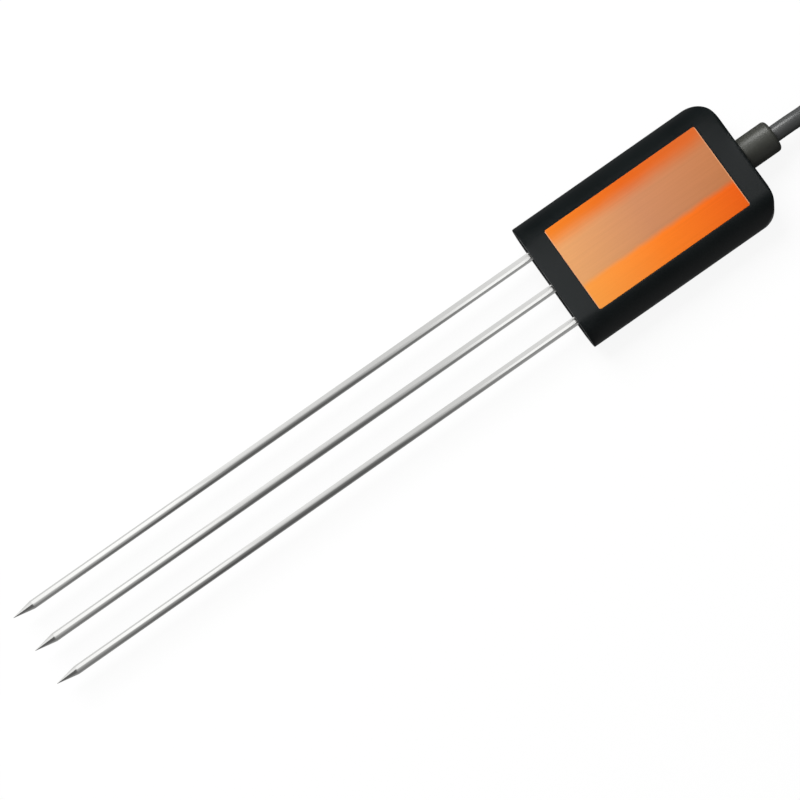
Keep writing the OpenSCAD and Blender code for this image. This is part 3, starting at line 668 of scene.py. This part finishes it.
def stripCores():
    made, ends = [], []
    steps, tinnedSteps = cores["steps"], cores["tinnedSteps"]
    for index, (name, dark, light) in enumerate(cores["colours"]):
        points = [coreStart(index, out) for out in (-cores["tuck"], 0)]
        points += [corePoint(index, fullTurn * i / steps) for i in range(steps + 1)]
        finish = extrudedPvc(name + "CoreInsulation", dark, light)
        core = layLead("bareCore_" + name, points, cores["diameter"], cores["sides"], finish)
        made.append(finishPiece(core, name + "_core", "tail_" + name))
        inner = grainedFinish(name + "InnerCore", dark, light, *cores["innerFinish"])
        dress(cadNodes["core_" + name].data, inner)
        points = [corePoint(index, fullTurn + tinnedTurn * i / tinnedSteps)
                  for i in range(-1, tinnedSteps + 1)]
        ends.append(layLead("tinned_" + name, points, cores["tinnedDiameter"], cores["tinnedSides"],
                            tinnedCopper))
    for end in ends:
        made.append(finishPiece(end, "solder", "tail_ends"))
    return made


coreTails = stripCores()
print("cores stripped")

# nylon tie round the coil
tie = {
    "turn": 0.2,          # turns past the coil's start
    "width": 4.4,
    "thickness": 0.6,
    "edge": 0.15,
    "gap": 0.3,           # from the cable
    "cornerSteps": 8,
    "head": (4.6, 5, 2.8),
    "headBevel": 0.5,
    "headLift": 0.1,      # over the strap's inner face
    "stub": (1, 3.9, 0.45),
    "stubBevel": 0.1,
    "stubSink": 0.1,      # in the head
    "bevelSteps": 3,
}


def roundedRectangle(width, height, radius, steps):  # points and outward normals, counter-clockwise
    made = []
    for corner in range(4):
        sx, sy = (1, -1, -1, 1)[corner], (1, 1, -1, -1)[corner]
        middle = Vector((sx * (width / 2 - radius), sy * (height / 2 - radius)))
        for i in range(steps + 1):
            angle = corner * pi / 2 + i / steps * pi / 2
            normal = Vector((cos(angle), sin(angle)))
            made.append((middle + radius * normal, normal))
    return made


def loftRings(build, rings, closed=False, caps=False):  # quads between rings of the same count
    loops = [[build.verts.new(p) for p in ring] for ring in rings]
    pairs = list(zip(loops, loops[1:])) + ([(loops[-1], loops[0])] if closed else [])
    for a, b in pairs:
        for i in range(len(a)):
            j = (i + 1) % len(a)
            build.faces.new((a[i], a[j], b[j], b[i]))
    if caps:
        build.faces.new(loops[0])
        build.faces.new(loops[-1])


def addBlock(build, centre, turn, size, bevel):  # a block with rounded edges
    made = bmesh.ops.create_cube(build, size=1)["verts"]
    bmesh.ops.scale(build, vec=size, verts=made)
    edges = list({e for v in made for e in v.link_edges})
    done = bmesh.ops.bevel(build, geom=edges, offset=bevel, segments=tie["bevelSteps"], affect="EDGES",
                           profile=0.5)
    every = list({v for f in done["faces"] for v in f.verts} | {v for v in made if v.is_valid})
    bmesh.ops.transform(build, matrix=Matrix.Translation(centre) @ turn, verts=every)


def meshFrom(build, name):
    bmesh.ops.recalc_face_normals(build, faces=build.faces)
    mesh = bpy.data.meshes.new(name)
    build.to_mesh(mesh)
    build.free()
    mesh.transform(Matrix.Scale(mm, 4))
    return mesh


def loftMesh(name, rings, **how):
    build = bmesh.new()
    loftRings(build, rings, **how)
    return meshFrom(build, name)


def tieCoil():
    angle = coilAngle(tie["turn"])
    outward, sideways = Vector((cos(angle), sin(angle), 0)), Vector((-sin(angle), cos(angle), 0))
    climbOut = cable["turnStep"] * cable["climbTurns"] / 4  # furthest that a climbing turn strays
    stackWidth = cable["layerTurns"] * cable["turnStep"] + cable["diameter"] + 2 * (climbOut + tie["gap"])
    stackHeight = (cable["layers"] - 1) * cable["layerStep"] + cable["diameter"] + 2 * tie["gap"]
    middle = coilAt(cable["coilRadius"], angle, tie["thickness"] + stackHeight / 2)
    half, thick, edge = tie["width"] / 2, tie["thickness"], tie["edge"]
    section = ((edge, -half), (0, edge - half), (0, half - edge), (edge, half), (thick - edge, half),
               (thick, half - edge), (thick, edge - half), (thick - edge, -half))
    rings = []
    corner, steps = cable["diameter"] / 2, tie["cornerSteps"]
    for spot, normal in roundedRectangle(stackWidth, stackHeight, corner, steps):
        rings.append([middle + outward * (spot.x + out * normal.x) + Vector((0, 0, spot.y + out * normal.y))
                      + sideways * side for out, side in section])
    build = bmesh.new()
    loftRings(build, rings, closed=True)
    turn = Matrix((outward, sideways, Vector((0, 0, 1)))).transposed().to_4x4()
    headFoot = stackHeight / 2 + tie["headLift"]
    stubFoot = headFoot + tie["head"][2] - tie["stubSink"]
    blocks = ((headFoot, tie["head"], tie["headBevel"]), (stubFoot, tie["stub"], tie["stubBevel"]))
    for foot, size, bevel in blocks:
        addBlock(build, middle + Vector((0, 0, foot + size[2] / 2)), turn, size, bevel)
    return finishPiece(newPiece("coilTie", meshFrom(build, "coilTie"), blackNylon), "tie_nylon", "coil_tie")


coilTie = tieCoil()
print("coil tied")

# housing: one lofted shell, with the label's recess and the cable's hole cut in
housing = {
    "crownRadius": 9.5,    # front and back roll over into the sides
    "sideRadius": 5,
    "cornerRadius": 9,     # seen from the front, at the cable end
    "endRounding": 1.2,    # front and back edges at the cable end
    "innerRounding": 0.5,  # the same inside
    "creaseRounding": 1.8,
    "rimRounding": 0.35,
    "rimWall": 1.4,
    "rimChamfer": 0.2,     # on the rim's inner edge
    "wall": 2.2,
    "endWall": 3,
    "recess": 0.45,
    "recessRoom": 0.35,
    "labelCorner": 0.7,
    "labelCornerSteps": 8,
    "hole": 7.8,           # for the strain relief's neck
    "holeSides": 64,
    "cutBefore": 2,        # how far the cutters reach past the walls
    "cutPast": 3,
    "sharpAngle": 30,
    "arcSteps": 30,        # round a quarter of the section
    "flatSteps": 5,
    "sideSteps": 3,
    "bodySteps": 8,        # along the body, round the corners, the end's edges and the rim
    "cornerSteps": 24,
    "endSteps": 8,
    "rimSteps": 5,
    "leastStep": 0.004,
}
shellLow, shellHigh = (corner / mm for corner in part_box("housing_shell"))
halfWidth, halfThick = shellHigh.y, shellHigh.z / 2
crownDrop = housing["crownRadius"] - halfThick
sideAngle = asin(crownDrop / (housing["crownRadius"] - housing["sideRadius"]))
flatHalf = halfWidth - housing["sideRadius"] - sqrt((housing["crownRadius"] - housing["sideRadius"]) ** 2
                                                    - crownDrop ** 2)


def sectionRing(x, inset, width, thick):  # round the section, cut at width and thick, creases rounded
    crease, arcSteps = housing["creaseRounding"], housing["arcSteps"]
    flatSteps, sideSteps = housing["flatSteps"], housing["sideSteps"]
    crown, side = housing["crownRadius"] - inset - crease, housing["sideRadius"] - inset - crease
    sideMiddle, width, thick = halfWidth - housing["sideRadius"], width - crease, thick - crease
    if width >= sideMiddle + side:
        cutZ = 0
    elif width <= flatHalf:
        cutZ = crown - crownDrop
    elif width <= flatHalf + crown * cos(sideAngle):
        cutZ = sqrt(crown ** 2 - (width - flatHalf) ** 2) - crownDrop
    else:
        cutZ = sqrt(side ** 2 - (width - sideMiddle) ** 2)
    topY = flatHalf + (sqrt(crown ** 2 - (thick + crownDrop) ** 2) if thick < crown - crownDrop else 0)
    quarter = []
    for i in range(arcSteps + 1):
        angle = pi / 2 * (1 - i / arcSteps)
        normal = Vector((cos(angle), sin(angle)))
        if angle >= sideAngle:
            spot = normal * crown + Vector((flatHalf, -crownDrop))
        else:
            spot = normal * side + Vector((sideMiddle, 0))
        if thick < cutZ:
            spot = Vector((width, thick))
        elif spot.x > width:
            spot = Vector((width, cutZ))
        elif spot.y > thick:
            spot = Vector((topY, thick))
        quarter.append(spot + crease * normal)
    first, last = quarter[0], quarter[-1]
    quarter = [Vector((first.x * i / flatSteps, first.y)) for i in range(flatSteps)] + quarter
    quarter += [Vector((last.x, last.y * (1 - i / sideSteps))) for i in range(1, sideSteps + 1)]
    signs = ((1, 1, False), (1, -1, True), (-1, -1, False), (-1, 1, True))
    return [Vector((x, sy * p.x, sz * p.y + halfThick)) for sy, sz, back in signs
            for p in (list(reversed(quarter))[:-1] if back else quarter[:-1])]


def endStations(end, corner, rounding):  # places along the housing, closer where the end rounds over
    places = set()
    for radius, steps in ((corner, housing["cornerSteps"]), (rounding, housing["endSteps"])):
        places |= {end - radius + radius * sin(pi / 2 * i / steps) for i in range(steps + 1)}
    made = []
    for place in sorted(places):
        if not made or place - made[-1] > housing["leastStep"]:
            made.append(place)
    return made


def reachAt(x, end, corner, limit):  # half width or thickness left at x by a rounding at the end
    past = max(0, x - (end - corner))
    return limit - corner + sqrt(max(0, corner ** 2 - past ** 2))


def endRings(end, inset, rounding):  # the closed end's rings, from the body outwards
    corner, width, thick = (size - inset for size in (housing["cornerRadius"], halfWidth, halfThick))
    return [sectionRing(x, inset, reachAt(x, end, corner, width), reachAt(x, end, rounding, thick))
            for x in endStations(end, corner, rounding)]


def openRing(x, inset):
    return sectionRing(x, inset, halfWidth - inset, halfThick - inset)


def housingMesh():
    mouth, end, corner = shellLow.x, shellHigh.x, housing["cornerRadius"]
    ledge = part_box("needle_plate")[1].x / mm
    rim, rimWall, chamfer = housing["rimRounding"], housing["rimWall"], housing["rimChamfer"]
    bodySteps, rimSteps = housing["bodySteps"], housing["rimSteps"]
    rings = endRings(end, 0, housing["endRounding"])[::-1]
    for i in range(1, bodySteps):
        rings.append(openRing(end - corner + (mouth + rim - end + corner) * i / bodySteps, 0))
    for i in range(rimSteps + 1):
        angle = pi / 2 * i / rimSteps
        rings.append(openRing(mouth + rim * (1 - sin(angle)), rim * (1 - cos(angle))))
    inside = ((mouth, rimWall - chamfer), (mouth + chamfer, rimWall), (ledge, rimWall),
              (ledge, housing["wall"]))
    rings += [openRing(x, inset) for x, inset in inside]
    rings += endRings(end - housing["endWall"], housing["wall"], housing["innerRounding"])
    return loftMesh("housingShell", rings, caps=True)


def makeHousing():
    shell = newPiece("housingShell", housingMesh(), blackAbs)
    low, high = (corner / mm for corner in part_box("front_label"))
    room, middle, neck = housing["recessRoom"], (low + high) / 2, housing["hole"] / 2
    before, past, sides = housing["cutBefore"], housing["cutPast"], housing["holeSides"]
    length, width = (side + 2 * room for side in (high.x - low.x, high.y - low.y))
    recess = [Vector((p.x + middle.x, p.y + middle.y, shellHigh.z - housing["recess"])) for p, normal in
              roundedRectangle(length, width, housing["labelCorner"] + room, housing["labelCornerSteps"])]
    hole = [Vector((shellHigh.x - housing["endWall"] - before, neck * cos(a), halfThick + neck * sin(a)))
            for a in (2 * pi * i / sides for i in range(sides))]
    cutters = []
    for name, outline, reach in (("recess", recess, Vector((0, 0, past))),
                                 ("hole", hole, Vector((before + housing["endWall"] + past, 0, 0)))):
        cutters.append(newPiece(name, loftMesh(name, [outline, [p + reach for p in outline]], caps=True)))
        cut = shell.modifiers.new(name, "BOOLEAN")
        cut.object, cut.operation, cut.solver = cutters[-1], "DIFFERENCE", "EXACT"
    bakeModifiers(shell, housing["sharpAngle"])
    dress(shell.data, blackAbs)
    for cutter in cutters:
        bpy.data.objects.remove(cutter)
    return finishPiece(shell, "housing_plastic", "housing_shell")


makeHousing()
print("housing lofted")

# label film in its recess
label = {"corner": 0.7, "cornerSteps": 8, "edge": 0.08, "edgeShare": 0.3, "inset": 0.05}


def makeLabel():
    low, high = (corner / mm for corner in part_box("front_label"))
    middle, edge = (low + high) / 2, label["edge"]
    length, width = (side - 2 * label["inset"] for side in (high.x - low.x, high.y - low.y))
    part = label["edgeShare"] * edge  # a point between, which rounds the edge
    rings = []
    for inset, height in ((0, low.z), (0, high.z - edge), (part, high.z - part), (edge, high.z)):
        rings.append([Vector((p.x + middle.x - inset * n.x, p.y + middle.y - inset * n.y, height))
                      for p, n in roundedRectangle(length, width, label["corner"], label["cornerSteps"])])
    piece = newPiece("labelFilm", loftMesh("labelFilm", rings, caps=True), orangeFilm)
    return finishPiece(piece, "label_film", "front_label")


makeLabel()
print("label laid")

# needles
needles = {
    "diameter": 3,
    "pointLength": 7.4,
    "tipFlat": 0.16,
    "blend": 0.12,         # softening where the ground point meets the shank
    "tailDiameter": 2.4,
    "boreDiameter": 1.8,   # the centre needle is a tube that holds the sensing bead
    "boreFloor": 3,
    "boreEnd": 0.2,        # short of the tail's end
    "sides": 40,
    "tipShare": 1.4,       # of the point's length, with closer steps
    "tipSteps": 28,
    "shankSteps": 12,
    "shoulder": 0.002,     # step from the shank to the tail
}


def needleTree():  # a ground rod along a path, its width by a rule, repeated side by side
    tree, given = startTree("groundNeedle", {
        "Geometry": ("Path",),
        "Float": ("Tip", "Shoulder", "Tail", "Height", "Diameter", "Point Length", "Tip Flat", "Blend",
                  "Tail Diameter", "Bore Diameter", "Bore Start", "Spacing"),
        "Int": ("Count", "Sides"),
        "Material": ("Finish",)})
    line = addNode(tree, "GeometryNodeMeshToCurve", {"Mesh": given["Path"]})
    spot = addNode(tree, "GeometryNodeInputPosition")
    x = addNode(tree, "ShaderNodeSeparateXYZ", {0: spot})
    gone = addNode(tree, "ShaderNodeMath", {0: x, 1: given["Tip"]}, operation="SUBTRACT")
    share = addNode(tree, "ShaderNodeMath", {0: gone, 1: given["Point Length"]}, operation="DIVIDE")
    cone = addNode(tree, "ShaderNodeMix", {0: share, 2: given["Tip Flat"], 3: given["Diameter"]},
                   clamp_factor=False)
    ground = addNode(tree, "ShaderNodeMath", {0: cone, 1: given["Diameter"], 2: given["Blend"]},
                     operation="SMOOTH_MIN")
    inside = addNode(tree, "ShaderNodeMath", {0: x, 1: given["Shoulder"]}, operation="GREATER_THAN")
    width = addNode(tree, "ShaderNodeMix", {0: inside, 2: ground, 3: given["Tail Diameter"]})
    ring = addNode(tree, "GeometryNodeCurvePrimitiveCircle", {"Resolution": given["Sides"], "Radius": 0.5})
    rod = addNode(tree, "GeometryNodeCurveToMesh",
                  {"Curve": line, "Profile Curve": ring, "Scale": width, "Fill Caps": True})
    start = addNode(tree, "ShaderNodeCombineXYZ", {"X": given["Bore Start"], "Z": given["Height"]})
    end = addNode(tree, "ShaderNodeCombineXYZ", {"X": given["Tail"], "Z": given["Height"]})
    bore = addNode(tree, "GeometryNodeCurvePrimitiveLine", {"Start": start, "End": end})
    bore = addNode(tree, "GeometryNodeCurveToMesh", {
        "Curve": bore, "Profile Curve": ring, "Scale": given["Bore Diameter"], "Fill Caps": True})
    bore = addNode(tree, "GeometryNodeFlipFaces", {"Mesh": bore})
    hollow = addNode(tree, "ShaderNodeMath", {0: given["Bore Diameter"], 1: 0}, operation="GREATER_THAN")
    bore = addNode(tree, "GeometryNodeSwitch", {"Switch": hollow, "True": bore}, input_type="GEOMETRY")
    whole = addNode(tree, "GeometryNodeJoinGeometry", {"Geometry": rod}, give=None)
    tree.links.new(bore, whole.inputs["Geometry"])
    offset = addNode(tree, "ShaderNodeCombineXYZ", {"Y": given["Spacing"]})
    half = addNode(tree, "ShaderNodeMath", {0: given["Spacing"], 1: -0.5}, operation="MULTIPLY")
    first = addNode(tree, "ShaderNodeCombineXYZ", {"Y": half})
    spots = addNode(tree, "GeometryNodeMeshLine",
                    {"Count": given["Count"], "Start Location": first, "Offset": offset})
    copies = addNode(tree, "GeometryNodeInstanceOnPoints", {"Points": spots, "Instance": whole.outputs[0]})
    return endTree(tree, copies, given["Finish"])


def makeNeedles():
    tree = needleTree()
    low, high = (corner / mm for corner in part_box("needle_centre"))
    tip, tail, shoulder = low.x, high.x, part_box("needle_plate")[0].x / mm
    point, step = needles["pointLength"], needles["shoulder"]
    tipPart, tipSteps, shankSteps = point * needles["tipShare"], needles["tipSteps"], needles["shankSteps"]
    shank = shoulder - tip - tipPart
    places = [tip + tipPart * i / tipSteps for i in range(tipSteps + 1)]
    places += [tip + tipPart + shank * i / shankSteps for i in range(1, shankSteps + 1)]
    path = [Vector((x, 0, halfThick)) for x in (*places, shoulder + step, tail)]
    sizes = {"Tip": tip, "Shoulder": shoulder + step / 2, "Tail": tail - needles["boreEnd"],
             "Height": halfThick, "Diameter": needles["diameter"], "Point Length": point,
             "Tip Flat": needles["tipFlat"], "Blend": needles["blend"],
             "Tail Diameter": needles["tailDiameter"], "Bore Start": tip + point + needles["boreFloor"]}
    sizes = {name: value * mm for name, value in sizes.items()}
    sizes |= {"Sides": needles["sides"], "Finish": stainless}
    spacing = 2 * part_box("needle_left")[1].y - needles["diameter"] * mm
    own = {"Bore Diameter": 0.0, "Count": 2, "Spacing": spacing}
    outer = growOnPath("outerNeedles", path, tree, sizes | own)
    finishPiece(outer, "needle_steel", "needle_left", "needle_right")
    own = {"Bore Diameter": needles["boreDiameter"] * mm, "Count": 1, "Spacing": 0.0}
    centre = growOnPath("centreNeedle", path, tree, sizes | own)
    finishPiece(centre, "needle_steel", "needle_centre")


makeNeedles()
print("needles ground")

# strain relief moulded on the cable
relief = {
    "diameter": 10.9,
    "edge": 1.4,
    "foot": 0.3,           # softened edge against the housing
    "lip": 0.35,           # softened edge round the cable
    "neck": 7.7,
    "flange": 8.7,
    "flangeThick": 2,
    "bore": 5.8,
    "steps": 72,
    "arcSteps": 8,
}


def makeRelief():
    low, high = (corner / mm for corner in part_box("strain_relief"))
    wallEnd, radius, bore = shellHigh.x, relief["diameter"] / 2, relief["bore"] / 2
    inner, neck, flange = low.x + relief["flangeThick"], relief["neck"] / 2, relief["flange"] / 2
    foot, edge, lip = relief["foot"], relief["edge"], relief["lip"]
    steps, arcSteps = relief["steps"], relief["arcSteps"]
    profile = [(low.x, bore), (low.x, flange), (inner, flange), (inner, neck), (wallEnd, neck)]
    arcs = ((wallEnd + foot, radius - foot, foot, 180, 90), (high.x - edge, radius - edge, edge, 90, 0),
            (high.x - lip, bore + lip, lip, 0, -90))
    for x, r, size, fromAngle, toAngle in arcs:
        for i in range(arcSteps + 1):
            angle = radians(fromAngle + (toAngle - fromAngle) * i / arcSteps)
            profile.append((x + size * cos(angle), r + size * sin(angle)))
    rings = []
    for i in range(steps):
        angle = 2 * pi * i / steps
        rings.append([Vector((x, r * cos(angle), halfThick + r * sin(angle))) for x, r in profile])
    piece = newPiece("strainRelief", loftMesh("strainRelief", rings, closed=True), greyRubber)
    return finishPiece(piece, "relief_rubber", "strain_relief")


makeRelief()
print("strain relief moulded")

# CAD nodes that stay: name, darker and lighter colour, roughness, metallic, grain in millimetres
innerFinishes = {
    "castEpoxy": ("#131416", "#1d1f22", 0.25, 0, 3, ("potting_block",)),
    "softSolder": ("#a6aaac", "#c4c7c9", 0.32, 1, 0.5, ("needle_solder", "core_solder")),
    "glassBead": ("#2c1d12", "#4a3524", 0.2, 0, 0.6, ("thermistor_bead",)),
    "enamelledWire": ("#8c2f22", "#b04634", 0.25, 0, 0.3, ("thermistor_leads",)),
    "heatPaste": ("#bdb7a5", "#d2cdbd", 0.6, 0, 0.3, ("heat_filler",)),
    "greenLaminate": ("#195a30", "#237742", 0.35, 0, 0.8, ("circuit_board",)),
    "mouldedChip": ("#222426", "#303235", 0.5, 0, 0.2,
                    ("microcontroller", "bus_transceiver", "voltage_regulator", "surge_diodes")),
    "sinteredFerrite": ("#414143", "#555558", 0.6, 0, 0.2, ("power_inductor",)),
    "tantalumCase": ("#b77d27", "#d1963a", 0.45, 0, 0.3, ("bulk_capacitor",)),
    "pressedCan": ("#aeb1b3", "#c8cbcd", 0.28, 1, 0.4, ("clock_crystal",)),
    "firedCeramic": ("#9f7d59", "#bd9a74", 0.5, 0, 0.2, ("chip_capacitors",)),
    "glazedResistor": ("#17171a", "#26262a", 0.4, 0, 0.2, ("chip_resistors",)),
    "naturalNylon": ("#d8d5c8", "#ebe9e0", 0.45, 0, 0.5, ("cable_stop",)),
    "jacketInside": ("#3f4140", "#4b4d4c", 0.4, 0, 0.5, ("cable_inner",)),
}
for name, (*look, members) in innerFinishes.items():
    finish = grainedFinish(name, *look)
    for member in members:
        dress(cadNodes[member].data, finish)
dress(cadNodes["needle_plate"].data, blackAbs)
print("inner parts finished")
